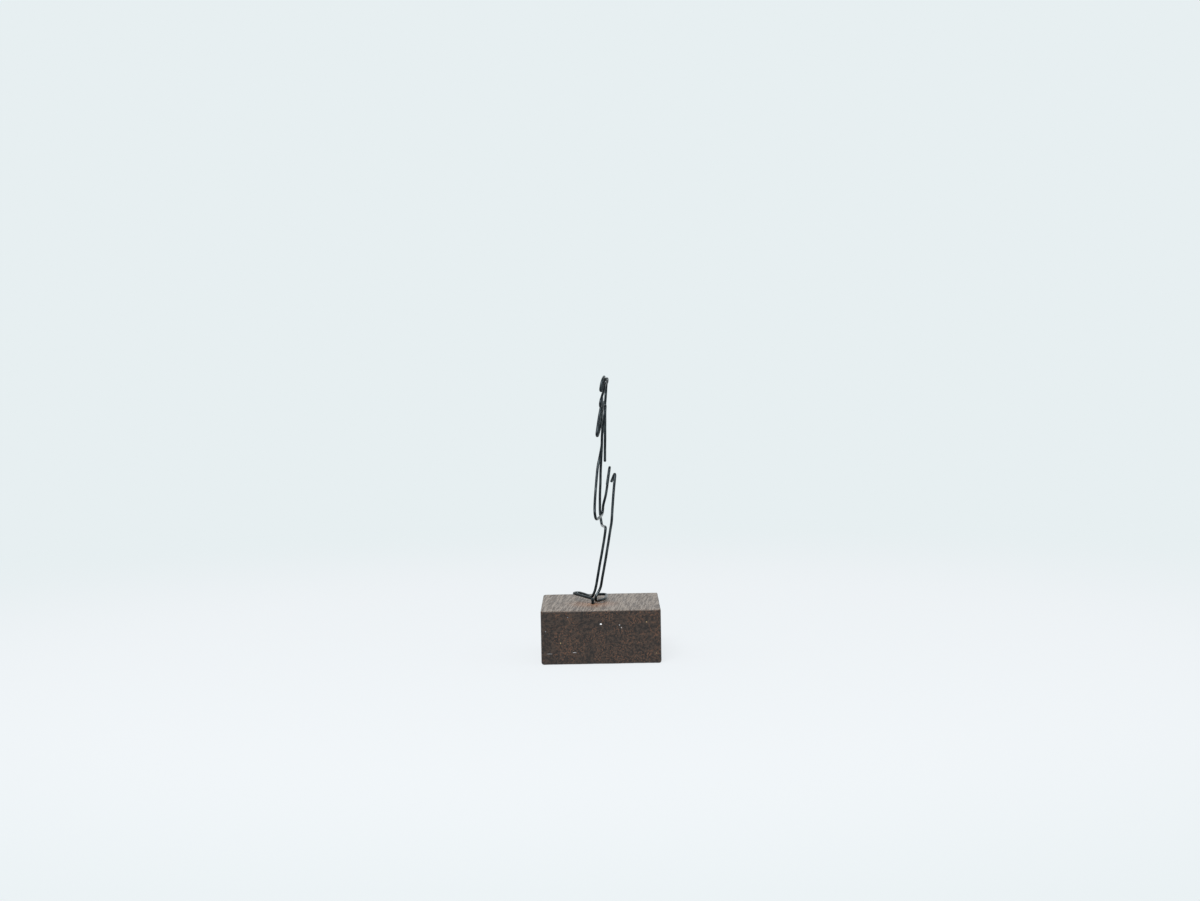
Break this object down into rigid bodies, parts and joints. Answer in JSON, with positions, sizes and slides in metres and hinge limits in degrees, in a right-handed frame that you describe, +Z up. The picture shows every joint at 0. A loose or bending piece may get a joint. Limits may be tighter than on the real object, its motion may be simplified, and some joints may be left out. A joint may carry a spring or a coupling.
{
  "type": "wire sculpture",
  "caption": "Small standing figure drawn in one bent black steel wire, arms folded up and skirt flared, set in a drilled block of dark wood.",
  "frame": {"origin": "middle of the block's underside", "axes": "+Z up the figure, +Y the way the figure faces, +X towards the figure's right side"},
  "size_m": [0.04, 0.04, 0.0953],
  "materials": {
    "wood": "sanded and waxed dark brown hardwood, dull, edges eased",
    "wire": "annealed black oxide, satin"
  },
  "bodies": {
    "root": {"wood_block": "wood", "wire_figure": "wire"}
  },
  "joints": []
}
